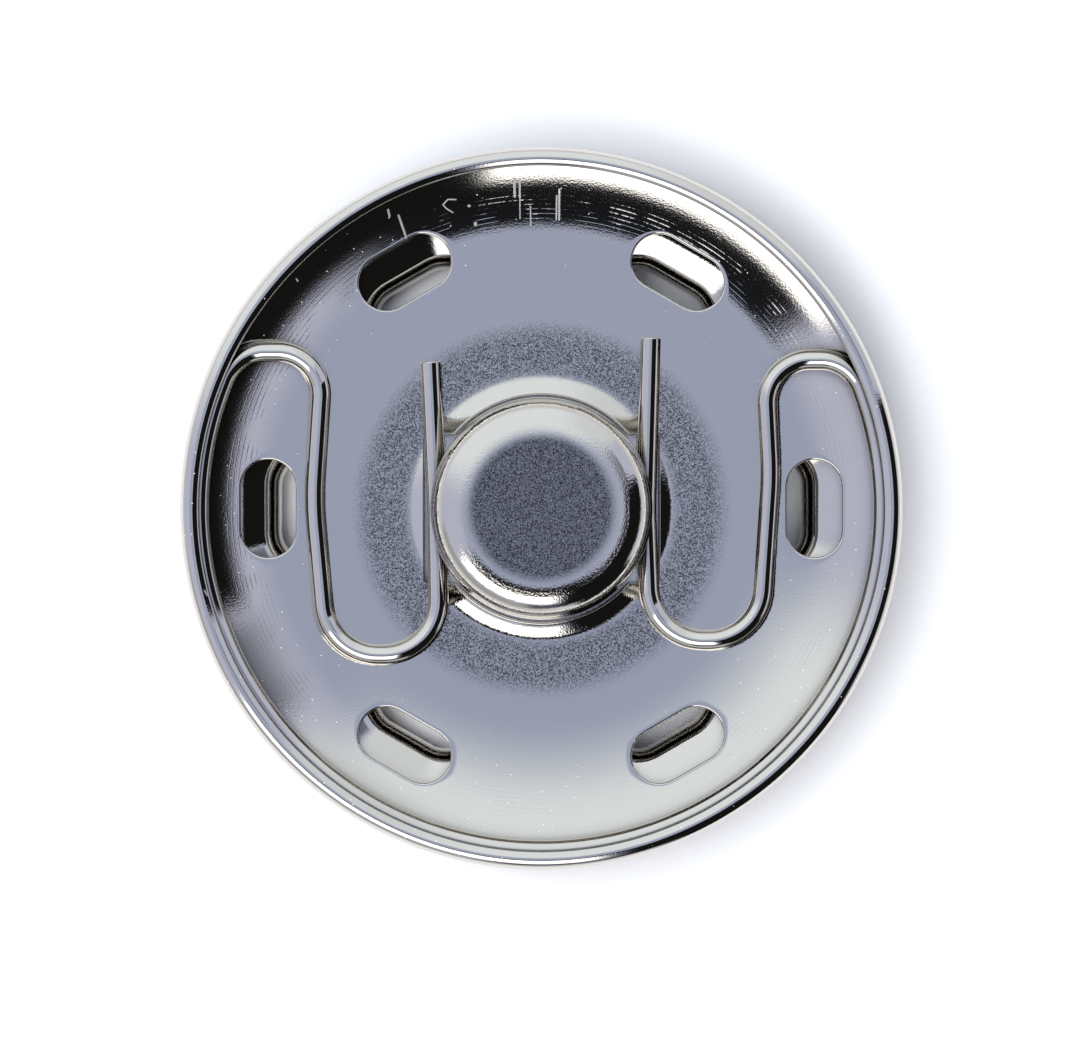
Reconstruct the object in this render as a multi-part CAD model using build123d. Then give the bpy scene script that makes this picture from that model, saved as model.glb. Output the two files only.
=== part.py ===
from build123d import *
import math
import os

# A large sew-on press stud, closed and lying on its ball half. Millimetres, +Z up.
# The origin is on the fastener's axis, at the bottom of the ball half's rolled rim.

# Sheet and wire
sheet = 0.35                    # sheet that both plates are drawn from
wire_diameter = 0.85
wire_play = 0.02                # round the wire inside the curled rim
leg_play = 0.02                 # between a wire leg and the stud's neck
web_gap = 0.05                  # between the two webs when the fastener is closed
bend_share = 0.98               # most of a run that its two bends may take up

# Both halves
socket_radius = 15.0            # outside of the socket half's curled rim
rim_step = 0.06                 # the ball half's rim stands this much further out
neck_radius = 3.9               # the stud, where the wire's legs grip it

# Ball half
rim_depth = 2.0                 # mating face to the bottom of the rim
rim_bend = 0.8                  # bend from the web into the rim, at mid sheet
rim_roll = 0.6                  # roll at the bottom of the rim, at mid sheet
rim_roll_width = 1.7            # outside of the rim to the inside of its roll
rim_roll_height = 0.95          # floor to the edge of the sheet inside the roll
rim_edge_bend = 0.5             # from the roll up to that edge, at mid sheet
head_overhang = 0.7             # widest part of the stud's head beyond its neck
head_crown_width = 1.42         # widest part of the head to where the crown would meet its top
head_flat_width = 1.73          # widest part of the head to the edge of its flat top
head_crown_drop = 0.19          # from the flat top to the head's upper corner
head_side = 1.03                # height of the head's side, between its corners
head_bend = 0.965               # upper corner of the head, at mid sheet
head_under_bend = 0.45          # lower corner of the head, at mid sheet
head_under_angle = 48           # the head's underside above level, degrees
neck_bend = 0.5                 # from the head's underside into the neck, at mid sheet
stud_root_bend = 0.9            # from the web into the stud, at mid sheet

# Socket half
dish_width = 3.92               # outside of the rim to where the dished edge would meet the web
dish_angle = 12.5               # slope of the dish at the rim, degrees
dish_bend = 29                  # the long bend from the web into that slope, at mid sheet
lip_bend = 0.28                 # bead that the rim's edge is turned over in, at mid sheet
lip_angle = 50                  # how far that bead turns down again beyond its crest, degrees
lip_straight = 0.02             # straight end of the sheet beyond the bead
collar_play = 0.14              # between the stud's head and the upright bore of the collar
collar_angle = 40               # slope that the collar tends to, degrees
collar_foot_width = 0.27        # the bore to where that slope would meet the web
collar_length = 0.63            # from there up the slope, before the bore is cut
collar_bend = 1.675             # from the web into the collar, at mid sheet
leg_slot_inset = 0.1            # the stud's neck to the inner side of the slot under a leg
leg_slot_width = 1.09
leg_slot_length = 6.2

# Sewing holes
hole_count = 6
socket_hole_width = 2.28
socket_hole_length = 4.08
socket_hole_inset = 3.6         # outside of the rim to the holes' centres
ball_hole_width = 2.2
ball_hole_length = 4.1
ball_hole_shift = 1.6           # the socket half's hole centres to those of the ball half
ball_mouth_width = 1.9          # edge of a drawn hole to where its mouth's slope meets the web
ball_mouth_angle = 12.5         # slope of the mouth, degrees
ball_mouth_bend = 4             # from the web into that slope, at mid sheet
ball_lip_bend = 0.96            # from the mouth down into the hole, at mid sheet
ball_lip_depth = 0.9            # from where the mouth would meet the lip down to its edge
ball_lip_root = 0.1             # level part of the lip, where it is one with the web

# Wire, seen from above. Places in X are counted outwards from the leg, or inwards from the rim.
low_bend_radius = 2.25
high_bend_radius = 2.0
run_bend_radius = 14            # the slight bends of the leg and of the long outer run
left_leg_spread = 0.275         # leg beside the neck to the leg's end
left_leg_end = 6.10             # Y of the leg's end
left_low_shift = -0.095         # leg beside the neck to the inner side of the lower bend
left_low_end = -6.08            # Y of the lower bend
left_bow_shift = 0.59           # outer side of the lower bend to the widest point of the run
left_bow_place = 0.3            # Y of that point
left_high_shift = 0.4           # inner side of the upper bend to that point
left_high_width = 3.665         # the upper bend, to where it would meet the rim
left_high_end = 6.52            # Y of the upper bend
left_rim_angle = 21.3           # where the wire meets the rim, degrees from the X axis
right_leg_spread = 0.195
right_leg_end = 7.10
right_low_shift = 0.215
right_low_end = -5.48
right_bow_shift = 0.46
right_bow_place = 1.4
right_high_shift = 0.24
right_high_width = 3.62
right_high_end = 6.19
right_rim_angle = 18.7

# Heights and radii that follow
ball_radius = socket_radius + rim_step
head_radius = neck_radius + head_overhang
socket_hole_place = socket_radius - socket_hole_inset
ball_hole_place = socket_hole_place - ball_hole_shift
ball_web_top = rim_depth
ball_web_middle = ball_web_top - sheet / 2
mouth_slope = math.radians(ball_mouth_angle)
ball_mouth_reach = ball_mouth_width + ball_mouth_bend * math.tan(mouth_slope / 2) + sheet
socket_web_bottom = ball_web_top + web_gap
socket_web_middle = socket_web_bottom + sheet / 2
socket_web_top = socket_web_bottom + sheet
wire_radius = wire_diameter / 2
curl_radius = wire_radius + wire_play + sheet / 2
wire_ring_radius = socket_radius - sheet - wire_play - wire_radius
leg_x = neck_radius + leg_play + wire_radius
dish_foot = socket_radius - dish_width
dish_slope = math.radians(dish_angle)
bore_radius = head_radius + collar_play
leg_slot_place = neck_radius - leg_slot_inset + leg_slot_width / 2
leg_slot_depth = 4 * sheet
wire_height = socket_web_middle + (
    curl_radius + (wire_ring_radius - dish_foot) * math.sin(dish_slope)
) / math.cos(dish_slope)


def fitted(corners, radii):
    """The bends, made smaller where two of them would not fit on the run between them."""
    ways = [direction(a, b) for a, b in zip(corners, corners[1:])]
    reach = [0]
    for before, after, radius in zip(ways, ways[1:], radii):
        cosine = before[0] * after[0] + before[1] * after[1]
        reach.append(radius * math.sqrt((1 - cosine) / (1 + cosine)))
    reach.append(0)
    room = []
    for i in range(len(ways)):
        used = reach[i] + reach[i + 1]
        room.append(min(1, bend_share * math.dist(corners[i], corners[i + 1]) / used))
    return [radius * min(room[i], room[i + 1]) for i, radius in enumerate(radii)]


def direction(start, end):
    """Unit vector from one point to another."""
    length = math.dist(start, end)
    return ((end[0] - start[0]) / length, (end[1] - start[1]) / length)


def parallel(corners, radii, distance):
    """A path with rounded corners, moved to its left by distance: its corners slide along
    their bisectors, and a left turn gets tighter by the same distance."""
    ways = [direction(a, b) for a, b in zip(corners, corners[1:])]
    moved = []
    bends = []
    for i, (x, y) in enumerate(corners):
        before = ways[max(i - 1, 0)]
        after = ways[min(i, len(ways) - 1)]
        share = distance / (1 + before[0] * after[0] + before[1] * after[1])
        moved.append((x - share * (before[1] + after[1]), y + share * (before[0] + after[0])))
        if 0 < i < len(ways):
            turn = before[0] * after[1] - before[1] * after[0]
            bends.append(radii[i - 1] - distance * math.copysign(1, turn))
    return moved, bends


def sheet_profile(corners, radii):
    """Section of a bent sheet, from the corners and bends of its middle line, in X and Z."""
    bends = fitted(corners, radii)
    left, left_bends = parallel(corners, bends, sheet / 2)
    right, right_bends = parallel(corners, bends, -sheet / 2)
    edges = FilletPolyline(*left, radius=left_bends).edges()
    edges += FilletPolyline(*right, radius=right_bends).edges()
    edges += Line(left[0], right[0]).edges()
    edges += Line(left[-1], right[-1]).edges()
    return Plane.XZ * make_face(edges)


def around(place, shape):
    """Copies of a shape on the sewing-hole circle, its X axis pointing outwards."""
    return [spot * shape for spot in PolarLocations(place, hole_count)]


def stadium(width, length, bottom, top):
    """An upright block with round ends, long along Y."""
    outline = Plane.XY.offset(bottom) * SlotOverall(length, width, rotation=90)
    return extrude(outline, top - bottom)


def ball_plate():
    """Disc with a hollow stud drawn up from it, and a rim rolled down and inwards."""
    plate = revolve(ball_profile(), Axis.Z)
    width = ball_hole_width + 2 * ball_mouth_reach
    length = ball_hole_length + 2 * ball_mouth_reach
    mouth = stadium(width, length, ball_web_top - 2 * sheet, ball_web_top + sheet)
    plate -= around(ball_hole_place, mouth)
    plate += around(ball_hole_place, drawn_lip())
    return plate


def ball_profile():
    """Middle line of the ball half's sheet, from the top of the stud to the rim's edge. The
    head's underside just clears a wire leg that lies against the neck."""
    head_wall = head_radius - sheet / 2
    neck_wall = neck_radius - sheet / 2
    under_slope = math.radians(head_under_angle)
    leg_reach = leg_x - neck_wall
    neck_z = wire_height + leg_reach * (1 - math.sin(under_slope)) / math.cos(under_slope)
    under_z = neck_z + (head_wall - neck_wall) * math.tan(under_slope)
    crown_z = under_z + head_side
    head_top = crown_z + head_crown_drop
    rim_wall = ball_radius - sheet / 2
    roll_wall = ball_radius - rim_roll_width + sheet / 2
    crown_x = head_radius - head_crown_width
    corners = [
        (0, head_top),
        (crown_x, head_top),
        (head_wall, crown_z),
        (head_wall, under_z),
        (neck_wall, neck_z),
        (neck_wall, ball_web_middle),
        (rim_wall, ball_web_middle),
        (rim_wall, sheet / 2),
        (roll_wall, sheet / 2),
        (roll_wall, rim_roll_height),
    ]
    crown_turn = math.atan2(head_crown_drop, head_wall - crown_x)
    crown_bend = (head_flat_width - head_crown_width) / math.tan(crown_turn / 2)
    radii = [
        crown_bend,
        head_bend,
        head_under_bend,
        neck_bend,
        stud_root_bend,
        rim_bend,
        rim_roll,
        rim_edge_bend,
    ]
    return sheet_profile(corners, radii)


def drawn_lip():
    """The sheet turned down round a sewing hole: one section carried round a stadium."""
    wall = ball_hole_width / 2 + sheet / 2
    slope_end = ball_hole_width / 2 + ball_mouth_width
    flat_end = ball_hole_width / 2 + ball_mouth_reach + ball_lip_root
    mouth_z = ball_web_middle - (slope_end - wall) * math.tan(mouth_slope)
    corners = [
        (wall, mouth_z - ball_lip_depth),
        (wall, mouth_z),
        (slope_end, ball_web_middle),
        (flat_end, ball_web_middle),
    ]
    section = sheet_profile(corners, [ball_lip_bend, ball_mouth_bend])
    straight = ball_hole_length - ball_hole_width
    side = Pos(0, straight / 2, 0) * extrude(section, straight, dir=(0, -1, 0))
    end = Pos(0, straight / 2, 0) * revolve(section, Axis.Z, 180)
    half = side + end
    return half + Rot(0, 0, 180) * half


def socket_plate():
    """Bowl-shaped disc, its middle turned up round the stud and slotted under the wire's legs,
    and its rim curled over the wire."""
    plate = revolve(socket_profile(), Axis.Z)
    plate -= Cylinder(bore_radius, socket_radius)
    slot = Box(leg_slot_width, leg_slot_length, leg_slot_depth)
    plate -= [Pos(side * leg_slot_place, 0, socket_web_middle) * slot for side in (-1, 1)]
    dish_top = socket_web_top + dish_width
    hole = stadium(socket_hole_width, socket_hole_length, socket_web_bottom - sheet, dish_top)
    plate -= around(socket_hole_place, hole)
    return plate


def socket_profile():
    """Middle line of the socket half's sheet, from the collar's edge to the lip's edge. The lip's
    lower corner just clears the wire."""
    lean = math.radians(collar_angle)
    foot_x = bore_radius + collar_foot_width
    edge_x = foot_x - collar_length * math.cos(lean)
    edge_z = socket_web_middle + collar_length * math.sin(lean)
    rim_wall = socket_radius - sheet / 2
    past_crest = math.radians(lip_angle)
    lip_reach = lip_bend * math.tan((math.pi / 2 + past_crest) / 2)
    inner_bend = lip_bend - sheet / 2
    edge_in = inner_bend * math.sin(past_crest) + lip_straight * math.cos(past_crest)
    edge_up = inner_bend * math.cos(past_crest) - lip_straight * math.sin(past_crest)
    beside_wire = rim_wall - lip_bend - edge_in - wire_ring_radius
    above_wire = math.sqrt((wire_radius + wire_play) ** 2 - beside_wire**2)
    lip_z = wire_height + above_wire - edge_up + lip_reach
    lip_length = lip_reach + lip_straight
    corners = [
        (edge_x, edge_z),
        (foot_x, socket_web_middle),
        (dish_foot, socket_web_middle),
        (rim_wall, socket_web_middle + (rim_wall - dish_foot) * math.tan(dish_slope)),
        (rim_wall, lip_z),
        (
            rim_wall - lip_length * math.cos(past_crest),
            lip_z - lip_length * math.sin(past_crest),
        ),
    ]
    return sheet_profile(corners, [collar_bend, dish_bend, curl_radius, lip_bend])


def wire_side(leg, low, bow, high, rim_angle):
    """Half of the wire, seen from above on the side of positive X: the corners from the end
    of its leg to where it meets the rim, and their bends."""
    angle = math.radians(rim_angle)
    rim_x = wire_ring_radius * math.cos(angle)
    rim_y = wire_ring_radius * math.sin(angle)
    leg_spread, leg_end = leg
    low_shift, low_end = low
    bow_shift, bow_place = bow
    high_shift, high_width, high_end = high
    over_rim = rim_x - (high_end - rim_y) * math.tan(angle)
    high_x = over_rim - high_width
    bow_x = high_x + high_shift
    corners = [
        (leg_x + leg_spread, leg_end),
        (leg_x, 0),
        (leg_x + low_shift, low_end),
        (bow_x - bow_shift, low_end),
        (bow_x, bow_place),
        (high_x, high_end),
        (over_rim, high_end),
        (rim_x, rim_y),
    ]
    bends = [
        run_bend_radius,
        low_bend_radius,
        low_bend_radius,
        run_bend_radius,
        high_bend_radius,
        high_bend_radius,
    ]
    return corners, fitted(corners, bends)


def wire_line(side, corners, bends):
    """The middle line of one half of the wire, at its height, to the given side."""
    points = [(side * x, y, wire_height) for x, y in corners]
    return FilletPolyline(*points, radius=bends)


def spring_wire():
    """One round wire: two legs beside the stud's neck, two S-bends and an arc in the rim."""
    left_side = wire_side(
        (left_leg_spread, left_leg_end),
        (left_low_shift, left_low_end),
        (left_bow_shift, left_bow_place),
        (left_high_shift, left_high_width, left_high_end),
        left_rim_angle,
    )
    right_side = wire_side(
        (right_leg_spread, right_leg_end),
        (right_low_shift, right_low_end),
        (right_bow_shift, right_bow_place),
        (right_high_shift, right_high_width, right_high_end),
        right_rim_angle,
    )
    left = wire_line(-1, *left_side)
    right = wire_line(1, *right_side)
    sweep_angle = 180 + left_rim_angle + right_rim_angle
    arc = CenterArc((0, 0, wire_height), wire_ring_radius, 180 - left_rim_angle, sweep_angle)
    path = Wire(left.edges() + arc.edges() + right.edges())
    section = Plane(origin=path @ 0, z_dir=path % 0) * Circle(wire_radius)
    return sweep(section, path)


os.makedirs("parts", exist_ok=True)
export_step(ball_plate(), "parts/ball_plate.step")
export_step(socket_plate(), "parts/socket_plate.step")
export_step(spring_wire(), "parts/spring_wire.step")
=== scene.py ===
import bpy
import numpy as np
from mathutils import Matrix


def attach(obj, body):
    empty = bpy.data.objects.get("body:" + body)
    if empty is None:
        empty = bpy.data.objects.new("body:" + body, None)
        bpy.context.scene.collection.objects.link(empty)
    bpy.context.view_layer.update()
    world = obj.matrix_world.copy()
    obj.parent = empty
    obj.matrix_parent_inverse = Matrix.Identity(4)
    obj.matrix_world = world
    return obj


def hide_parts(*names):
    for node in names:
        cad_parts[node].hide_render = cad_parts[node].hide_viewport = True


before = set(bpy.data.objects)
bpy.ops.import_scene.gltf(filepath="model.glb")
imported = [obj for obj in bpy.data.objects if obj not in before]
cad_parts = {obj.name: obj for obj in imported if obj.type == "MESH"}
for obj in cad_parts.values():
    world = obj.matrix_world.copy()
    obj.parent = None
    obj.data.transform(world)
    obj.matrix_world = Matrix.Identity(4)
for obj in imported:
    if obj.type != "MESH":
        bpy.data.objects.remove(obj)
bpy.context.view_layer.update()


# Ball half
# The lower disc, seen in the middle and through the sewing holes. It is one sheet of brass with a
# hollow stud drawn up from it, six sewing holes drawn down and a rim rolled down and inwards, and it
# is nickel plated. Sizes are in millimetres, and a mesh gets them in metres.

MM = 0.001
SHEET = 0.35
WIRE_RADIUS = 0.425
WIRE_PLAY = 0.02
WEB_GAP = 0.05
SOCKET_RADIUS = 15.0
BALL_RADIUS = SOCKET_RADIUS + 0.06
BALL_WEB_TOP = 2.0
BALL_WEB = BALL_WEB_TOP - SHEET / 2
RIM_ROLL_WIDTH = 1.7                        # outside of the rim to the inside of its roll
RIM_ROLL_HEIGHT = 0.95                      # floor to the sheet's edge in the roll
RIM_BENDS = [0.8, 0.6, 0.5]                 # web to rim, rim to roll, roll to edge
NECK_RADIUS = 3.9
HEAD_RADIUS = NECK_RADIUS + 0.7
HEAD_CROWN_WIDTH = 1.42                     # widest part of the head to the crown's corner
HEAD_CROWN_REACH = 0.31                     # crown's corner to the edge of the flat top
HEAD_CROWN_DROP = 0.19                      # flat top to the head's upper corner
HEAD_SIDE = 1.03                            # height between the head's corners
HEAD_UNDER_SLOPE = np.radians(48)
STUD_BENDS = [0.965, 0.45, 0.5, 0.9]        # head's two corners, its underside to the neck, root
LEG_X = NECK_RADIUS + WIRE_PLAY + WIRE_RADIUS

# The wire's height, which the underside of the head follows, comes from the socket half's dish: the
# wire's ring lies in the bend between the dish and the rim, with the wire's play under it.
DISH_SLOPE = np.radians(12.5)
DISH_FOOT = SOCKET_RADIUS - 3.92
SOCKET_WEB = BALL_WEB_TOP + WEB_GAP + SHEET / 2
CURL_BEND = WIRE_RADIUS + WIRE_PLAY + SHEET / 2
WIRE_RING = SOCKET_RADIUS - SHEET - WIRE_PLAY - WIRE_RADIUS
WIRE_HEIGHT = SOCKET_WEB + (
    CURL_BEND + (WIRE_RING - DISH_FOOT) * np.sin(DISH_SLOPE)) / np.cos(DISH_SLOPE)

BALL_HOLE_PLACE = 9.8
BALL_HOLE_WIDTH = 2.2
BALL_HOLE_LENGTH = 4.1
MOUTH_WIDTH = 1.9                           # edge of a hole to where its mouth meets the web
MOUTH_SLOPE = np.radians(12.5)
MOUTH_BEND = 4.0
LIP_BEND = 0.96
LIP_DEPTH = 0.9                             # mouth's lower corner to the lip's edge
CUT_ROUNDING = 0.07

# How finely the sheets are divided. A web is six sectors, each from one distance to another from
# the axis and from one angle to the next.
SECTORS = 6
BALL_SECTOR = (6.2, 13.5)
BALL_POINT_SPACING = 0.12
STRAIGHT_SPACINGS = 4
LEAST_ARC_STEPS = 4
COLUMNS_PER_SECTOR = 40
ROUND_ANGLES = np.linspace(
    -np.pi / SECTORS, 2 * np.pi - np.pi / SECTORS, SECTORS * COLUMNS_PER_SECTOR + 1
)
SIDE_POINTS = 14
HOLE_ROWS = 9
HOLE_CROWDING = 1.3
QUARTER_TURN = np.linspace(0, np.pi / 2, 5)
OVERRUN = 0.01
SAME_PLACE = 1e-6
SAME_LENGTH = 1e-3
WELD_DISTANCE = 1e-4


def bent_path(corners, bends, spacing):
    """Points, unit left normals and lengths along a path of straight runs and tangent arcs. On an
    arc the way turns evenly, and each point is the centre plus the radius square to the way. An arc
    has a point for each spacing of its length, and a straight run one for several of them."""
    corners = np.array(corners, float)
    ways = np.diff(corners, axis=0)
    ways /= np.linalg.norm(ways, axis=1)[:, None]
    points, tangents = [], []

    def straight(start, end, way):
        length = np.linalg.norm(end - start)
        count = max(1, int(np.ceil(length / (STRAIGHT_SPACINGS * spacing))))
        points.append(start + (end - start) * np.linspace(0, 1, count + 1)[:, None])
        tangents.append(np.repeat(way[None], count + 1, axis=0))

    last = corners[0]
    for corner, before, after, bend in zip(corners[1:], ways, ways[1:], bends):
        turn = np.arctan2(before[0] * after[1] - before[1] * after[0], before @ after)
        reach = bend * np.tan(abs(turn) / 2)
        straight(last, corner - before * reach, before)
        steps = max(LEAST_ARC_STEPS, int(np.ceil(bend * abs(turn) / spacing)))
        angle = np.linspace(0, turn, steps + 1)
        cos, sin = np.cos(angle), np.sin(angle)
        way = np.stack([before[0] * cos - before[1] * sin, before[0] * sin + before[1] * cos], 1)
        side = np.sign(turn) * bend
        centre = corner - before * reach + side * np.array([-before[1], before[0]])
        points.append(centre - side * np.stack([-way[:, 1], way[:, 0]], 1))
        tangents.append(way)
        last = corner + after * reach
    straight(last, corners[-1], ways[-1])
    points, tangents = np.concatenate(points), np.concatenate(tangents)
    apart = np.linalg.norm(np.diff(points, axis=0), axis=1)
    keep = np.concatenate([[True], apart > SAME_PLACE])
    lengths = np.concatenate([[0], np.cumsum(apart)])
    normals = np.stack([-tangents[:, 1], tangents[:, 0]], 1)
    return points[keep], normals[keep], lengths[keep]


def rows_of(values, table, at):
    """Each column of values, read between its rows at the given places in a rising table."""
    return np.stack([np.interp(at, table, values[:, i]) for i in range(values.shape[1])], -1)


def face_rows(path, side, start, end):
    """Rows of one face of a bent sheet between two lengths along it: half its thickness to the left
    or right of its middle line."""
    points, normals, lengths = path
    inside = lengths[(lengths > start + SAME_LENGTH) & (lengths < end - SAME_LENGTH)]
    at = np.concatenate([[start], inside, [end]])
    out = side * rows_of(normals, lengths, at)
    return rows_of(points, lengths, at) + SHEET / 2 * out, out


def cut_edge(point, normal):
    """The rounded cut edge where a sheet ends, from its left face round to its right face: two
    quarter turns about centres inside the sheet, with the flat of the cut between them."""
    way = np.stack([normal[..., 1], -normal[..., 0]], -1)
    points, normals = [], []
    for side, angles in ((1, QUARTER_TURN), (-1, QUARTER_TURN[::-1])):
        centre = point + side * (SHEET / 2 - CUT_ROUNDING) * normal - CUT_ROUNDING * way
        for angle in angles:
            out = side * np.cos(angle) * normal + np.sin(angle) * way
            points.append(centre + CUT_ROUNDING * out)
            normals.append(out)
    return np.stack(points, -2), np.stack(normals, -2)


def turned(points, normals):
    """A section carried round the axis: its distance from the axis goes with the cosine and sine of
    the angle. The section may be one for all angles or one for each."""
    cos, sin = np.cos(ROUND_ANGLES)[:, None], np.sin(ROUND_ANGLES)[:, None]
    return tuple(
        np.stack([part[..., 0] * cos, part[..., 0] * sin, part[..., 1] + 0 * cos], -1)
        for part in (points, normals)
    )


def holed_sector(top, bottom, hole, near, far, sector):
    """One sixth of a holed web, both faces and the hole's edge. Each point of the sector's border
    is joined to the nearest point of the hole's straight middle line, and the rows between are
    offset curves of the hole, closer together near it. Heights come from the sheet's faces at that
    distance from the axis."""
    place, width, length, (edge_offset, edge_drop, edge_normal) = hole
    half = np.pi / SECTORS
    across = np.linspace(-half, half, COLUMNS_PER_SECTOR + 1)
    outward = np.linspace(near, far, SIDE_POINTS)
    radius = np.concatenate([
        np.full(COLUMNS_PER_SECTOR, far), outward[:0:-1],
        np.full(COLUMNS_PER_SECTOR, near), outward,
    ])
    angle = np.concatenate([
        across[:-1], np.full(SIDE_POINTS - 1, half),
        across[:0:-1], np.full(SIDE_POINTS, -half),
    ])
    border = np.stack([radius * np.cos(angle), radius * np.sin(angle)], 1)
    straight = (length - width) / 2
    middle = np.stack([np.full(len(border), place), np.clip(border[:, 1], -straight, straight)], 1)
    reach = np.linalg.norm(border - middle, axis=1)[:, None]
    way = (border - middle) / reach
    share = (np.linspace(1, 0, HOLE_ROWS + 1)[:-1] ** HOLE_CROWDING)[None]
    faces = []
    for (points, normals), from_offset, order in (
        (top, edge_offset[0], 1),
        (bottom, edge_offset[-1], -1),
    ):
        offset = (from_offset + (reach - width / 2 - from_offset) * share)[:, ::order]
        plan = middle[:, None] + way[:, None] * (offset + width / 2)[..., None]
        distance = np.linalg.norm(plan, axis=-1)
        rise = rows_of(points, points[:, 0], distance)[..., 1:]
        tilt = rows_of(normals, points[:, 0], distance)
        outwards = plan / distance[..., None]
        facing = np.concatenate([outwards * tilt[..., :1], tilt[..., 1:]], -1)
        faces.append((np.concatenate([plan, rise], -1), facing))
    plan = middle[:, None] + way[:, None] * (edge_offset + width / 2)[None, :, None]
    distance = np.linalg.norm(plan, axis=-1)
    rise = rows_of(top[0], top[0][:, 0], distance)[..., 1:] - edge_drop[None, :, None]
    edge = np.concatenate([plan, rise], -1)
    edge_up = np.repeat(edge_normal[None, :, 1:], len(border), axis=0)
    edge_facing = np.concatenate([way[:, None] * edge_normal[None, :, :1], edge_up], -1)
    cos, sin = np.cos(sector), np.sin(sector)
    turn = np.array([[cos, sin, 0], [-sin, cos, 0], [0, 0, 1]])
    points = np.concatenate([faces[0][0], edge, faces[1][0]], 1)
    normals = np.concatenate([faces[0][1], edge_facing, faces[1][1]], 1)
    return points @ turn, normals @ turn


def holed_disc(path, web, sector, hole):
    """The grids of a holed disc: six sectors with a hole each, and the rim with its cut edge. The
    sectors lie between two distances from the axis, in the web, which is the part of the path
    between two lengths where both faces spread outwards. The length of the path at the sectors'
    inner border is given back too."""
    points, normals, lengths = path
    spread = (lengths >= web[0]) & (lengths <= web[1])
    faces, borders = [], []
    for side in (1, -1):
        distance = (points + side * SHEET / 2 * normals)[spread, 0]
        start, end = np.interp(sector, distance, lengths[spread])
        borders.append((start, end))
        faces.append(face_rows(path, side, start - OVERRUN, end + OVERRUN))
    last = lengths[-1] - CUT_ROUNDING
    top = face_rows(path, 1, borders[0][1], last)
    bottom = face_rows(path, -1, borders[1][1], last)
    edge = cut_edge(points[-1], normals[-1])
    rim = turned(*(np.concatenate([top[i], edge[i], bottom[i][::-1]]) for i in range(2)))
    sectors = [
        holed_sector(*faces, hole, *sector, number * 2 * np.pi / SECTORS)
        for number in range(SECTORS)
    ]
    return borders[0][0], [rim] + sectors


def shell(name, patches, material):
    """One closed mesh from grids of points. Points that fall together are welded, quads are turned
    to face the way of their normals, and the surfaces' own normals are kept for shading."""
    points, normals, faces, start = [], [], [], 0
    for patch_points, patch_normals in patches:
        rows, columns = patch_points.shape[:2]
        index = start + np.arange(rows * columns).reshape(rows, columns)
        quads = [index[:-1, :-1], index[1:, :-1], index[1:, 1:], index[:-1, 1:]]
        faces.append(np.stack(quads, -1).reshape(-1, 4))
        points.append(patch_points.reshape(-1, 3))
        normals.append(patch_normals.reshape(-1, 3))
        start += rows * columns
    points, normals, faces = (np.concatenate(part) for part in (points, normals, faces))
    _, first, group = np.unique(
        np.round(points / WELD_DISTANCE), axis=0, return_index=True, return_inverse=True
    )
    joined = np.zeros((len(first), 3))
    np.add.at(joined, group.reshape(-1), normals)
    joined /= np.maximum(np.linalg.norm(joined, axis=1, keepdims=True), SAME_PLACE)
    points, faces = points[first], group.reshape(-1)[faces]
    corner = points[faces]
    facing = np.cross(corner[:, 2] - corner[:, 0], corner[:, 3] - corner[:, 1])
    inwards = (facing * joined[faces].sum(1)).sum(1) < 0
    faces[inwards] = faces[inwards, ::-1]
    loops = []
    for face in faces.tolist():
        ring = [point for point, before in zip(face, face[-1:] + face[:-1]) if point != before]
        if len(set(ring)) > 2:
            loops.append(ring)
    mesh = bpy.data.meshes.new(name)
    mesh.from_pydata((points * MM).tolist(), [], loops)
    mesh.polygons.foreach_set("use_smooth", np.ones(len(mesh.polygons), bool))
    mesh.normals_split_custom_set_from_vertices(joined.tolist())
    mesh.materials.append(material)
    piece = bpy.data.objects.new(name, mesh)
    bpy.context.scene.collection.objects.link(piece)
    return piece


def ball_path():
    """Middle line of the ball half's sheet, from the top of the stud to the edge of the rim. The
    underside of the head just clears a leg beside the neck: it meets the neck above the wire's
    middle by the leg's distance times one minus the sine of its slope, over the cosine."""
    head_wall, neck_wall = HEAD_RADIUS - SHEET / 2, NECK_RADIUS - SHEET / 2
    rim_wall, roll_wall = BALL_RADIUS - SHEET / 2, BALL_RADIUS - RIM_ROLL_WIDTH + SHEET / 2
    slope = HEAD_UNDER_SLOPE
    neck_top = WIRE_HEIGHT + (LEG_X - neck_wall) * (1 - np.sin(slope)) / np.cos(slope)
    under = neck_top + (head_wall - neck_wall) * np.tan(slope)
    crown, crown_x = under + HEAD_SIDE, HEAD_RADIUS - HEAD_CROWN_WIDTH
    top = crown + HEAD_CROWN_DROP
    crown_turn = np.arctan2(HEAD_CROWN_DROP, head_wall - crown_x)
    corners = [(0, top), (crown_x, top), (head_wall, crown), (head_wall, under),
               (neck_wall, neck_top), (neck_wall, BALL_WEB), (rim_wall, BALL_WEB),
               (rim_wall, SHEET / 2), (roll_wall, SHEET / 2), (roll_wall, RIM_ROLL_HEIGHT)]
    bends = [HEAD_CROWN_REACH / np.tan(crown_turn / 2), *STUD_BENDS, *RIM_BENDS]
    return bent_path(corners, bends, BALL_POINT_SPACING)


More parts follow.
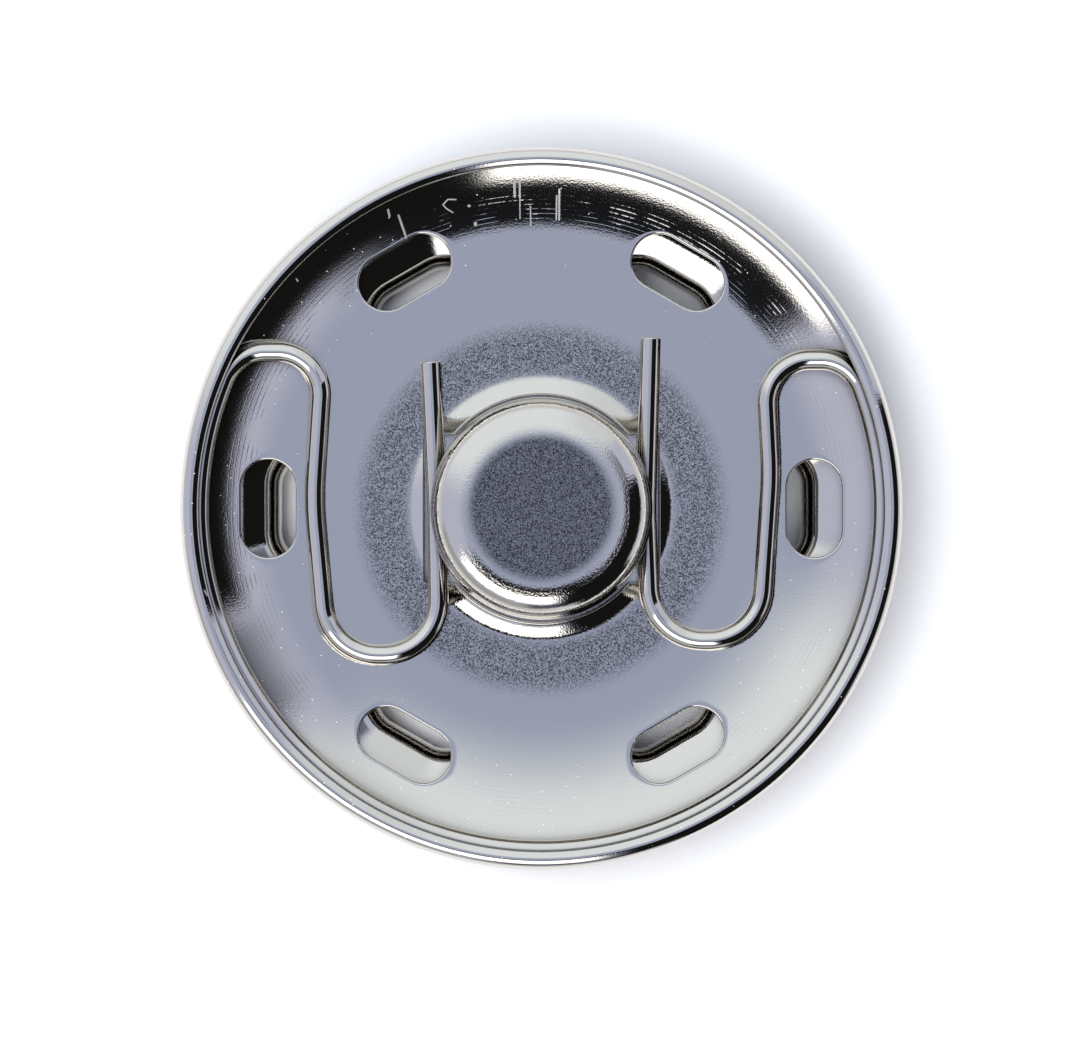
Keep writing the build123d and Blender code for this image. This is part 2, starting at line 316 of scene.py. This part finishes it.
def drawn_edge():
    """Section of a drawn hole's edge, as offsets from the hole, drops from the web and normals: a
    gentle slope, a quarter turn down, the cut, and the same way back under the sheet."""
    mouth = -SHEET / 2 - (MOUTH_WIDTH - SHEET / 2) * np.tan(MOUTH_SLOPE)
    flat = MOUTH_WIDTH + MOUTH_BEND * np.tan(MOUTH_SLOPE / 2) + OVERRUN
    corners = [(flat, -SHEET / 2), (MOUTH_WIDTH, -SHEET / 2), (SHEET / 2, mouth),
               (SHEET / 2, mouth - LIP_DEPTH)]
    path = bent_path(corners, [MOUTH_BEND, LIP_BEND], BALL_POINT_SPACING)
    last = path[2][-1] - CUT_ROUNDING
    under, upper = face_rows(path, 1, 0, last), face_rows(path, -1, 0, last)
    cut = cut_edge(path[0][-1], path[1][-1])
    points, normals = (
        np.concatenate([under[i], cut[i], upper[i][::-1]])[::-1] for i in range(2)
    )
    return points[:, 0], -points[:, 1], normals


def node(tree, kind, inputs=(), output=0, **settings):
    """Adds a shader node with its settings, and gives back one of its outputs. Its inputs, in order
    or by name or number, are values or the outputs of other nodes."""
    made = tree.nodes.new(kind)
    for key, value in settings.items():
        setattr(made, key, value)
    for key, value in inputs.items() if isinstance(inputs, dict) else enumerate(inputs):
        if isinstance(value, bpy.types.NodeSocket):
            tree.links.new(value, made.inputs[key])
        else:
            made.inputs[key].default_value = value
    return made.outputs[output] if made.outputs else None


def linear(colour):
    """An sRGB hex colour as linear red, green, blue and alpha."""
    parts = np.array([int(colour[i:i + 2], 16) / 255 for i in (1, 3, 5)])
    curve = np.where(parts <= 0.04045, parts / 12.92, ((parts + 0.055) / 1.055) ** 2.4)
    return (*curve.tolist(), 1.0)


def band(tree, value, rise, fall):
    """A soft window on a value: a smooth step up between the first two bounds, times a smooth step
    down between the last two."""
    up = node(tree, "ShaderNodeMapRange", (value, *rise), interpolation_type="SMOOTHSTEP")
    down = node(tree, "ShaderNodeMapRange", (value, *fall[::-1]), interpolation_type="SMOOTHSTEP")
    return node(tree, "ShaderNodeMath", (up, down), operation="MULTIPLY")


# Nickel as it comes from the bath is warm and nearly as smooth as a mirror, so what it shows is the room.
# The orange peel of the drawn sheet breaks that picture up in grains of a twelfth of a millimetre, at full
# height round the stud, where the sheet was stretched most, and a quarter as high farther out. In
# crevices, where something stands within 0.8 mm, the plate's colour is painted brown-black: painted shade,
# deepest where the crevice is most closed in.
NICKEL = "#D3CFC8"
CREVICE_SHADE = "#1C1916"
PLATE_ROUGHNESS = 0.04
GRAINS_PER_MM = 12.0
STRETCHED_ZONE = (9.0, 7.6)
STRETCHED_GRAIN = 0.75
SHADE_REACH = 0.8 * MM
CREVICE_SHADE_STEP = (0.3, 0.85)

# The top of the stud and the inner web were left frosted by drawing, in pits a twentieth of a millimetre
# wide. Their colours are partly painted reflection: the dark pits and the dimmed metal between them stand
# in for the dark surroundings that the frosted plate scatters to the camera. Where that zone begins and
# ends from the axis, the colour of its pits and that of the metal between them.
PITS_PER_MM = 19.0
PIT_STEP = (0.38, 0.62)
BALL_GRAIN = 0.0042
FROST_AND_REFLECTION_TOP = ((-2.0, -1.0), (2.7, 3.2), "#403E3C", "#A2A09E")


def nickel_plate(name, grain, frost_and_reflection=None, wear=None):
    """Bright nickel plate with a grain of the given height in millimetres, frosted in one zone, with
    painted reflection in its colours, if that is given. Its colour is painted brown-black as shade in
    crevices. Wear is a function that changes the plate's height and colour as use has, and gives its
    roughness and metallic with them."""
    material = bpy.data.materials.new(name)
    material.use_nodes = True
    tree = material.node_tree
    tree.nodes.clear()
    place = node(
        tree, "ShaderNodeVectorMath",
        {0: node(tree, "ShaderNodeTexCoord", output="Object"), "Scale": 1 / MM}, operation="SCALE",
    )
    in_plan = node(tree, "ShaderNodeVectorMath", (place, (1, 1, 0)), operation="MULTIPLY")
    radius = node(tree, "ShaderNodeVectorMath", (in_plan,), output="Value", operation="LENGTH")
    stretched = node(
        tree, "ShaderNodeMapRange", (radius, *STRETCHED_ZONE), interpolation_type="SMOOTHSTEP"
    )
    peel = node(
        tree, "ShaderNodeMath",
        (stretched, STRETCHED_GRAIN * grain, (1 - STRETCHED_GRAIN) * grain),
        operation="MULTIPLY_ADD",
    )
    grains = node(
        tree, "ShaderNodeTexNoise", {"Vector": place, "Scale": GRAINS_PER_MM, "Detail": 2.0}
    )
    height = node(tree, "ShaderNodeMath", (grains, peel), operation="MULTIPLY")
    colour = linear(NICKEL)
    if frost_and_reflection:
        rise, fall, pit, between = frost_and_reflection
        pits = node(tree, "ShaderNodeTexNoise", {"Vector": place, "Scale": PITS_PER_MM, "Detail": 3.0})
        share = node(tree, "ShaderNodeMapRange", (pits, *PIT_STEP), interpolation_type="SMOOTHSTEP")
        # The pits' dark and the dimmed metal between them are painted reflection of dark surroundings, on
        # a real frosted grain.
        pits_and_reflection = node(
            tree, "ShaderNodeMix", {0: share, 6: linear(pit), 7: linear(between)},
            output=2, data_type="RGBA",
        )
        frost_and_reflection_mix = {0: band(tree, radius, rise, fall), 6: colour, 7: pits_and_reflection}
        colour = node(tree, "ShaderNodeMix", frost_and_reflection_mix, output=2, data_type="RGBA")
    # Painted shade: the colour goes brown-black where ambient occlusion finds something within 0.8 mm.
    open_air = node(
        tree, "ShaderNodeAmbientOcclusion", {"Distance": SHADE_REACH}, output="AO", samples=4
    )
    unshaded = node(
        tree, "ShaderNodeMapRange", (open_air, *CREVICE_SHADE_STEP), interpolation_type="SMOOTHSTEP"
    )
    crevice_shaded = {0: unshaded, 6: linear(CREVICE_SHADE), 7: colour}
    colour = node(tree, "ShaderNodeMix", crevice_shaded, output=2, data_type="RGBA")
    roughness, metallic = PLATE_ROUGHNESS, 1.0
    if wear:
        height, colour, roughness, metallic = wear(tree, place, in_plan, radius, height, colour)
    bump = node(tree, "ShaderNodeBump", {"Distance": MM, "Height": height})
    shader = node(
        tree, "ShaderNodeBsdfPrincipled",
        {"Base Color": colour, "Metallic": metallic, "Roughness": roughness, "Normal": bump},
    )
    node(tree, "ShaderNodeOutputMaterial", {"Surface": shader})
    return material


path = ball_path()
points, _, lengths = path
in_web = np.abs(points[:, 1] - BALL_WEB) < SAME_PLACE
web = (lengths[in_web].min(), lengths[in_web].max())
hole = (BALL_HOLE_PLACE, BALL_HOLE_WIDTH, BALL_HOLE_LENGTH, drawn_edge())
near_length, patches = holed_disc(path, web, BALL_SECTOR, hole)
patches += [turned(*face_rows(path, side, 0, near_length)) for side in (1, -1)]
ball = shell("ball_disc", patches, nickel_plate("nickel_plated_ball", BALL_GRAIN, FROST_AND_REFLECTION_TOP))
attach(ball, "ball_half")
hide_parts("ball_plate")


# Socket half
# The upper disc, one sheet of brass like a shallow bowl. Its middle is turned up round the stud and
# slotted under the wire's legs, six holes are punched in it and its rim is curled over the wire.

BORE = HEAD_RADIUS + 0.14
COLLAR_FOOT = 0.27                          # bore to where the collar's slope would meet the web
COLLAR_SLOPE = np.radians(40)
COLLAR_LENGTH = 0.63                        # from there up the slope, before the bore is cut
COLLAR_BEND = 1.675
SLOT_SIDES = (NECK_RADIUS - 0.1, NECK_RADIUS + 0.99)    # of the slot under a leg
SLOT_END = 3.1                              # half the length of a slot
DISH_BEND = 29
LIP_BEAD = 0.28                             # bend of the bead at the rim's edge
LIP_PAST_CREST = np.radians(50)             # how far the bead turns down beyond its crest
LIP_STRAIGHT = 0.02
SOCKET_HOLE_PLACE = 11.4
SOCKET_HOLE_WIDTH = 2.28
SOCKET_HOLE_LENGTH = 4.08
SOCKET_HOLE_ROUNDING = 0.08

SOCKET_SECTOR = (8.2, 13.4)
SOCKET_WEB_ENDS = (5.9, 14.1)
SOCKET_POINT_SPACING = 0.08
COLLAR_ROWS = 44
COLLAR_CROWDING = 1.4
COLLAR_OVERLAP = 1.0
ROUNDING_STEPS = 5


def socket_path():
    """Middle line of the socket half's sheet, from inside the bore to the edge of the lip. The
    lip's lower corner just clears the wire: its height over the wire's middle is the square root
    of the wire's radius with its play, squared, less its distance beside the wire, squared."""
    cos, sin = np.cos(LIP_PAST_CREST), np.sin(LIP_PAST_CREST)
    inner = LIP_BEAD - SHEET / 2
    reach = LIP_BEAD * np.tan((np.pi / 2 + LIP_PAST_CREST) / 2)
    wall = SOCKET_RADIUS - SHEET / 2
    beside_wire = wall - LIP_BEAD - inner * sin - LIP_STRAIGHT * cos - WIRE_RING
    above_wire = np.sqrt((WIRE_RADIUS + WIRE_PLAY) ** 2 - beside_wire**2)
    lip = WIRE_HEIGHT + above_wire - inner * cos + LIP_STRAIGHT * sin + reach
    foot = BORE + COLLAR_FOOT
    corners = [(foot - COLLAR_LENGTH * np.cos(COLLAR_SLOPE),
                SOCKET_WEB + COLLAR_LENGTH * np.sin(COLLAR_SLOPE)),
               (foot, SOCKET_WEB),
               (DISH_FOOT, SOCKET_WEB),
               (wall, SOCKET_WEB + (wall - DISH_FOOT) * np.tan(DISH_SLOPE)),
               (wall, lip),
               (wall - (reach + LIP_STRAIGHT) * cos, lip - (reach + LIP_STRAIGHT) * sin)]
    return bent_path(corners, [COLLAR_BEND, DISH_BEND, CURL_BEND, LIP_BEAD], SOCKET_POINT_SPACING)


def punched_edge():
    """Section of a punched hole's edge: a straight wall between two small quarter turns."""
    in_first, in_last = 1 - np.sin(QUARTER_TURN), 1 - np.cos(QUARTER_TURN)
    offset = SOCKET_HOLE_ROUNDING * np.concatenate([in_first, in_last])
    drop = SOCKET_HOLE_ROUNDING * np.concatenate([in_last, -in_first])
    drop[len(QUARTER_TURN):] += SHEET
    over = np.concatenate([-np.sin(QUARTER_TURN), -np.cos(QUARTER_TURN)])
    up = np.concatenate([np.cos(QUARTER_TURN), -np.sin(QUARTER_TURN)])
    return offset, drop, np.stack([over, up], 1)


def collar(path, far):
    """The collar and the web round it, both faces and the upright cut with its rounded edges. The
    sheet starts at the bore, and under each wire leg at the nearer of a slot's side and end."""
    cos = np.maximum(np.abs(np.cos(ROUND_ANGLES)), SAME_PLACE)
    sin = np.maximum(np.abs(np.sin(ROUND_ANGLES)), SAME_PLACE)
    slot = np.minimum(SLOT_SIDES[1] / cos, SLOT_END / sin)
    slot[slot * cos < SLOT_SIDES[0]] = 0
    cut = np.maximum(slot, BORE)[:, None]
    share = np.linspace(0, 1, COLLAR_ROWS) ** COLLAR_CROWDING
    end = path[2][path[0][:, 0] > far + COLLAR_OVERLAP][0]
    points, normals = [], []
    for side in (1, -1):
        face, out = face_rows(path, side, 0, end)
        lean = np.interp(cut + CUT_ROUNDING, face[:, 0], out[:, 0])
        first = cut + CUT_ROUNDING * (1 + lean)
        rows = first + (far - first) * share
        face_points, face_normals = (rows_of(part, face[:, 0], rows) for part in (face, out))
        centre = face_points[:, :1] - CUT_ROUNDING * face_normals[:, :1]
        start = np.arctan2(face_normals[:, :1, 1], face_normals[:, :1, 0])
        turn = start + (side * np.pi - start) * np.linspace(0, 1, ROUNDING_STEPS + 1)[1:]
        round_normals = np.stack([np.cos(turn), np.sin(turn)], -1)
        parts = [face_points[:, ::-1], centre + CUT_ROUNDING * round_normals]
        points.append(np.concatenate(parts, 1)[:, ::side])
        normals.append(np.concatenate([face_normals[:, ::-1], round_normals], 1)[:, ::side])
    return turned(np.concatenate(points, 1), np.concatenate(normals, 1))


SOCKET_GRAIN = 0.0035
# Frosted web with painted reflection in its colours: dark pits and dimmed metal stand in for the dark
# surroundings it scatters.
FROST_AND_REFLECTION_WEB = ((5.3, 5.9), (7.0, 8.1), "#5A5854", "#D0CDC8")

# The tool that formed the dish left fine ridges round it, worn away in patches: where their zone
# begins and ends from the axis, the ridges per millimetre and their height. Real ones are finer, and
# these are as coarse as they have to be to show.
TOOL_RIDGES = [
    ((11.6, 12.0), (12.9, 13.3), 5.0, 0.0019),
    ((14.1, 14.3), (14.7, 14.8), 12.0, 0.0003),
]
RIDGE_SHAPE = ((0.36, 0.5), (0.5, 0.64))
WORN_PATCHES_PER_MM = 0.9
WORN_STEP = (0.3, 0.75)
BREAKS_PER_MM = 6.0

# Use has scratched the dish. A scratch is matt, so it looks white where the plate shows something
# dark. Each has both its ends and half its width.
SCRATCH_ROUGHNESS = 0.46
SCRATCHES = [
    ((-5.95, 12.21), (-5.60, 11.18), 0.06),
    ((-6.39, 12.44), (-6.33, 12.19), 0.06),
    ((-3.56, 12.88), (-3.90, 12.88), 0.035),
    ((-3.90, 12.88), (-4.10, 12.67), 0.035),
    ((-4.10, 12.67), (-3.97, 12.51), 0.035),
    ((-3.97, 12.51), (-3.69, 12.34), 0.035),
    ((-1.13, 13.74), (-1.11, 13.00), 0.06),
    ((-0.90, 13.74), (-0.90, 12.97), 0.05),
    ((-0.90, 12.97), (-0.89, 12.10), 0.03),
    ((-0.46, 12.60), (-0.44, 11.79), 0.035),
    ((0.75, 13.30), (0.74, 12.05), 0.05),
    ((0.64, 13.04), (0.62, 12.05), 0.04),
    ((-3.03, 12.62), (-3.00, 12.62), 0.07),
    ((-2.75, 11.90), (-2.75, 11.84), 0.08),
    ((-13.95, -3.40), (-13.85, -3.60), 0.05),
    ((-10.20, 9.56), (-10.15, 9.48), 0.05),
]

# Dust lies scattered on the outer web, in white specks 0.04 to 0.06 mm wide that mirror nothing.
DUST = "#F2F0EC"
SPECKS_PER_MM = 2.4
SPECK_STEP = (0.075, 0.045)
DUSTY_ZONE = (9.0, 11.0)


def scratch_distance(tree, in_plan, start, end):
    """Distance in plan to a straight line between two points: the place is projected on the line,
    the share along it is kept between 0 and 1, and what is left over is measured."""
    way = np.subtract(end, start)
    beyond = node(tree, "ShaderNodeVectorMath", (in_plan, (*start, 0)), operation="SUBTRACT")
    along = node(
        tree, "ShaderNodeVectorMath", (beyond, (*(way / (way @ way)), 0)),
        output="Value", operation="DOT_PRODUCT",
    )
    share = node(tree, "ShaderNodeClamp", (along,))
    foot = node(tree, "ShaderNodeVectorMath", {0: (*way, 0), "Scale": share}, operation="SCALE")
    gap = node(tree, "ShaderNodeVectorMath", (beyond, foot), operation="SUBTRACT")
    return node(tree, "ShaderNodeVectorMath", (gap,), output="Value", operation="LENGTH")


def socket_wear(tree, place, in_plan, radius, height, colour):
    """The tool's ridges, scratches and dust: height, colour, roughness and metallic of the plate. A
    ridge is a window on the fraction of the distance from the axis times the ridges per millimetre."""
    patches = node(
        tree, "ShaderNodeTexNoise", {"Vector": place, "Scale": WORN_PATCHES_PER_MM, "Detail": 1.0}
    )
    breaks = node(
        tree, "ShaderNodeTexNoise", {"Vector": place, "Scale": BREAKS_PER_MM, "Detail": 1.0}
    )
    kept = node(tree, "ShaderNodeMapRange", (patches, *WORN_STEP), interpolation_type="SMOOTHSTEP")
    left = node(tree, "ShaderNodeMath", (kept, breaks), operation="MULTIPLY")
    for rise, fall, ridges_per_mm, ridge_height in TOOL_RIDGES:
        count = node(tree, "ShaderNodeMath", (radius, ridges_per_mm), operation="MULTIPLY")
        fraction = node(tree, "ShaderNodeMath", (count,), operation="FRACT")
        shape = band(tree, fraction, *RIDGE_SHAPE)
        ridge = node(tree, "ShaderNodeMath", (shape, ridge_height), operation="MULTIPLY")
        zone = band(tree, radius, rise, fall)
        zone = node(tree, "ShaderNodeMath", (zone, left), operation="MULTIPLY")
        height = node(tree, "ShaderNodeMath", (zone, ridge, height), operation="MULTIPLY_ADD")
    matt = 0.0
    for start, end, half_width in SCRATCHES:
        away = scratch_distance(tree, in_plan, start, end)
        scratch = node(
            tree, "ShaderNodeMapRange", (away, half_width, 0.5 * half_width),
            interpolation_type="SMOOTHSTEP",
        )
        matt = node(tree, "ShaderNodeMath", (scratch, matt), operation="MAXIMUM")
    roughness = node(
        tree, "ShaderNodeMath",
        (matt, SCRATCH_ROUGHNESS - PLATE_ROUGHNESS, PLATE_ROUGHNESS), operation="MULTIPLY_ADD",
    )
    specks = node(tree, "ShaderNodeTexVoronoi", {"Vector": place, "Scale": SPECKS_PER_MM})
    speck = node(tree, "ShaderNodeMapRange", (specks, *SPECK_STEP), interpolation_type="SMOOTHSTEP")
    outer = node(tree, "ShaderNodeMapRange", (radius, *DUSTY_ZONE), interpolation_type="SMOOTHSTEP")
    dust = node(tree, "ShaderNodeMath", (speck, outer), operation="MULTIPLY")
    dusted = {0: dust, 6: colour, 7: linear(DUST)}
    colour = node(tree, "ShaderNodeMix", dusted, output=2, data_type="RGBA")
    metallic = node(tree, "ShaderNodeMath", (1.0, dust), operation="SUBTRACT")
    return height, colour, roughness, metallic


path = socket_path()
points, _, lengths = path
web = [lengths[(points[:, 0] > end).argmax()] for end in SOCKET_WEB_ENDS]
hole = (SOCKET_HOLE_PLACE, SOCKET_HOLE_WIDTH, SOCKET_HOLE_LENGTH, punched_edge())
_, patches = holed_disc(path, web, SOCKET_SECTOR, hole)
patches.append(collar(path, SOCKET_SECTOR[0]))
metal = nickel_plate("nickel_plated_socket", SOCKET_GRAIN, FROST_AND_REFLECTION_WEB, socket_wear)
socket = shell("socket_disc", patches, metal)
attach(socket, "socket_half")
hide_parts("socket_plate")


# Spring wire
# One round hard-drawn wire with sheared ends. Its two legs lie beside the stud's neck, two bends on
# each side carry it outwards, and the rest of it is an arc inside the curled rim.

# Corners of each side, counted outwards and upwards from the axis: the leg's end, the leg beside the
# neck, both corners of the lower bend, the widest point of the long run and the first corner of the
# upper bend.
LEFT_CORNERS = [(4.62, 6.1), (LEG_X, 0), (4.25, -6.08), (8.85, -6.08), (9.44, 0.3), (9.04, 6.52)]
RIGHT_CORNERS = [(4.54, 7.1), (LEG_X, 0), (4.56, -5.48), (9.06, -5.48), (9.52, 1.4), (9.28, 6.19)]
WIRE_BENDS = [14, 2.25, 2.25, 14, 1.8, 1.8]
LEFT_RIM_ANGLE = 21.3
RIGHT_RIM_ANGLE = 18.7
WIRE_POINT_SPACING = 0.15
ARC_POINTS = 200
WIRE_SIDES = 28
END_ROUNDING = 0.07

# Drawn wire has almost no grain.
WIRE_GRAIN = 0.0005


def wire_side(corners, rim_angle, side):
    """All corners of the wire on one side. The last one is on its ring in the rim, at an angle from
    the X axis, and the one before it is where the ring's tangent there meets the upper bend's line."""
    angle = np.radians(rim_angle)
    rim_x, rim_y = WIRE_RING * np.cos(angle), WIRE_RING * np.sin(angle)
    upper = corners[-1][1]
    over_rim = rim_x - (upper - rim_y) * np.tan(angle)
    return np.array([*corners, (over_rim, upper), (rim_x, rim_y)]) * (side, 1)


def wire_line():
    """Middle line of the wire seen from above, with its left normals: the left side from the end of
    its leg to the rim, the arc in the rim, and the right side back to its own leg's end."""
    left_corners = wire_side(LEFT_CORNERS, LEFT_RIM_ANGLE, -1)
    right_corners = wire_side(RIGHT_CORNERS, RIGHT_RIM_ANGLE, 1)
    left = bent_path(left_corners, WIRE_BENDS, WIRE_POINT_SPACING)
    right = bent_path(right_corners[::-1], WIRE_BENDS[::-1], WIRE_POINT_SPACING)
    angle = np.radians(np.linspace(180 - LEFT_RIM_ANGLE, 360 + RIGHT_RIM_ANGLE, ARC_POINTS))[1:-1]
    outwards = np.stack([np.cos(angle), np.sin(angle)], 1)
    points = np.concatenate([left[0], WIRE_RING * outwards, right[0]])
    normals = np.concatenate([left[1], -outwards, right[1]])
    return points, normals


def wire_skin():
    """A round tube along the wire's line: the line plus the radius times the cosine sideways and the
    sine upwards. Each sheared end is a disc with a small rounded edge."""
    points, normals = wire_line()
    ways = np.stack([normals[:, 1], -normals[:, 0]], 1)
    end_radius = np.concatenate([[0], WIRE_RADIUS - END_ROUNDING * (1 - np.sin(QUARTER_TURN))])
    end_back = np.concatenate([[0], END_ROUNDING * (1 - np.cos(QUARTER_TURN))])
    end_tilt = np.concatenate([[1], np.cos(QUARTER_TURN)])
    rings = len(end_radius)
    centres, sideways, along, radius, tilt = [], [], [], [], []
    for index, sign in ((0, -1), (-1, 1)):
        back = points[index] - sign * ways[index] * end_back[:, None]
        order = slice(None, None, -sign)
        centres.append(back[order])
        sideways.append(np.repeat(normals[index][None], rings, 0))
        along.append(np.repeat(ways[index][None], rings, 0))
        radius.append(end_radius[order])
        tilt.append(sign * end_tilt[order])
    inner = slice(1, -1)
    count = len(points) - 2
    centre = np.concatenate([centres[0], points[inner], centres[1]])[:, None]
    side = np.concatenate([sideways[0], normals[inner], sideways[1]])[:, None]
    way = np.concatenate([along[0], ways[inner], along[1]])[:, None]
    size = np.concatenate([radius[0], np.full(count, WIRE_RADIUS), radius[1]])[:, None, None]
    lean = np.concatenate([tilt[0], np.zeros(count), tilt[1]])[:, None, None]
    angle = np.linspace(0, 2 * np.pi, WIRE_SIDES + 1)
    cos, sin = np.cos(angle)[None, :, None], np.sin(angle)[None, :, None]
    flat = centre + size * cos * side
    height = WIRE_HEIGHT + size * sin
    steep = np.sqrt(1 - lean**2)
    out = np.concatenate([steep * cos * side + lean * way, steep * sin], -1)
    return np.concatenate([flat, height], -1), out


wire = shell("bent_wire", [wire_skin()], nickel_plate("nickel_plated_wire", WIRE_GRAIN))
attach(wire, "socket_half")
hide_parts("spring_wire")


# Stage
# A floor of matt, nearly white paper, which carries nothing but the shadow, and two soft boxes above
# it, at the left and in front, which leave that shadow soft, at the right and behind.

PAPER = "#F4F4F5"
FLOOR_REACH = 2.0
SOFT_BOXES = [(186, 4.2), (286, 2.2)]
SOFT_BOX_SIZE = (0.46, 0.40)
SOFT_BOX_DISTANCE = 0.7
SOFT_BOX_ZENITH = np.radians(27)

mesh = bpy.data.meshes.new("floor")
corners = [(x * FLOOR_REACH, y * FLOOR_REACH, 0) for x, y in ((-1, -1), (1, -1), (1, 1), (-1, 1))]
mesh.from_pydata(corners, [], [(0, 1, 2, 3)])
floor = bpy.data.objects.new("floor", mesh)
bpy.context.scene.collection.objects.link(floor)
material = bpy.data.materials.new("white_paper")
material.use_nodes = True
tree = material.node_tree
tree.nodes.clear()
paper = node(tree, "ShaderNodeBsdfDiffuse", {"Color": linear(PAPER)})
node(tree, "ShaderNodeOutputMaterial", {"Surface": paper})
mesh.materials.append(material)

for number, (azimuth, strength) in enumerate(SOFT_BOXES):
    box = bpy.data.lights.new(f"soft_box_{number}", "AREA")
    box.shape = "RECTANGLE"
    box.size, box.size_y = SOFT_BOX_SIZE
    box.energy = strength * np.pi * box.size * box.size_y
    lamp = bpy.data.objects.new(f"soft_box_{number}", box)
    bpy.context.scene.collection.objects.link(lamp)
    turn = np.radians(azimuth)
    out, up = np.sin(SOFT_BOX_ZENITH), np.cos(SOFT_BOX_ZENITH)
    lamp.location = SOFT_BOX_DISTANCE * np.array([out * np.cos(turn), out * np.sin(turn), up])
    lamp.rotation_euler = (SOFT_BOX_ZENITH, 0, turn + np.pi / 2)
    lamp.visible_glossy = False

# The room that the metal mirrors is lavender where nothing else is. Each part of it has a colour and
# a brightness, the direction of its middle, where it begins and ends on both sides of that direction,
# and where it begins and ends below the zenith, in degrees. A later part covers the earlier ones.
AIR = "#D3D8F2"
ROOM = [
    ("#FFFFFF", 0.85, 0, (-200, -190), (190, 200), (72, 80), (200, 210)),     # table and foot of the walls
    ("#D1DDFF", 0.73, 0, (-200, -190), (190, 200), (-2, -1), (10, 16)),       # ceiling overhead
    ("#F0F8FF", 1.19, 97, (-55, -35), (50, 75), (1, 18), (68, 80)),           # bright wall behind
    ("#F0F8FF", 1.00, 48, (-8, 0), (12, 34), (15, 20), (68, 80)),             # right end of that wall
    ("#DCE6FF", 0.33, 30, (-12, -6), (6, 12), (12, 20), (24, 34)),            # dim ceiling at the right
    ("#E8ECF0", 0.60, 230, (-45, -35), (35, 45), (56, 62), (76, 82)),         # grey wall, low at the left
    ("#C8D0E0", 0.02, 267, (-56, -48), (30, 52), (11.8, 13.0), (21, 23)),     # dark strip in front
    ("#C8D0E0", 0.20, 270, (-12, -4), (30, 40), (54, 60), (70, 76)),          # dim wall, low in front
    ("#FFFFFF", 0.01, -28, (-56, -46), (45, 48), (14.8, 18.4), (66, 74)),     # black wall at the right
    ("#FFFFFF", 0.01, -50, (-25, -15), (15, 25), (40, 50), (86, 92)),         # foot of the black wall
    ("#FFFFFF", 2.40, 246, (-36, -30), (30, 36), (19.0, 20.5), (50, 54)),     # white box at the lower left
]

world = bpy.data.worlds.new("room")
bpy.context.scene.world = world
world.use_nodes = True
tree = world.node_tree
tree.nodes.clear()
direction = node(tree, "ShaderNodeTexCoord", output="Generated")
upwards = node(
    tree, "ShaderNodeVectorMath", (direction, (0, 0, 1)), output="Value", operation="DOT_PRODUCT"
)
zenith = node(tree, "ShaderNodeMath", (upwards,), operation="ARCCOSINE")
zenith = node(tree, "ShaderNodeMath", (zenith,), operation="DEGREES")
light = linear(AIR)
for colour, strength, middle, rise, fall, top, bottom in ROOM:
    cos, sin = np.cos(np.radians(middle)), np.sin(np.radians(middle))
    ahead, aside = (
        node(tree, "ShaderNodeVectorMath", (direction, axis), output="Value", operation="DOT_PRODUCT")
        for axis in ((cos, sin, 0), (-sin, cos, 0))
    )
    turn = node(tree, "ShaderNodeMath", (aside, ahead), operation="ARCTAN2")
    turn = node(tree, "ShaderNodeMath", (turn,), operation="DEGREES")
    sides, heights = band(tree, turn, rise, fall), band(tree, zenith, top, bottom)
    share = node(tree, "ShaderNodeMath", (sides, heights), operation="MULTIPLY")
    glow = [strength * part for part in linear(colour)[:3]] + [1.0]
    light = node(tree, "ShaderNodeMix", {0: share, 6: light, 7: glow}, output=2, data_type="RGBA")
background = node(tree, "ShaderNodeBackground", {"Color": light})
node(tree, "ShaderNodeOutputWorld", {"Surface": background})

# The camera looks straight down and sees 45 mm at the fastener.
SENSOR = 36
SEEN_WIDTH = 45
SEEN_FROM = 220

camera = bpy.data.objects.new("camera", bpy.data.cameras.new("camera"))
bpy.context.scene.collection.objects.link(camera)
camera.location = (-0.058 * MM, -0.729 * MM, 223 * MM)
camera.data.lens = SENSOR * SEEN_FROM / SEEN_WIDTH
camera.data.clip_start = 0.01
bpy.context.scene.camera = camera
bpy.context.scene.view_settings.view_transform = "Standard"
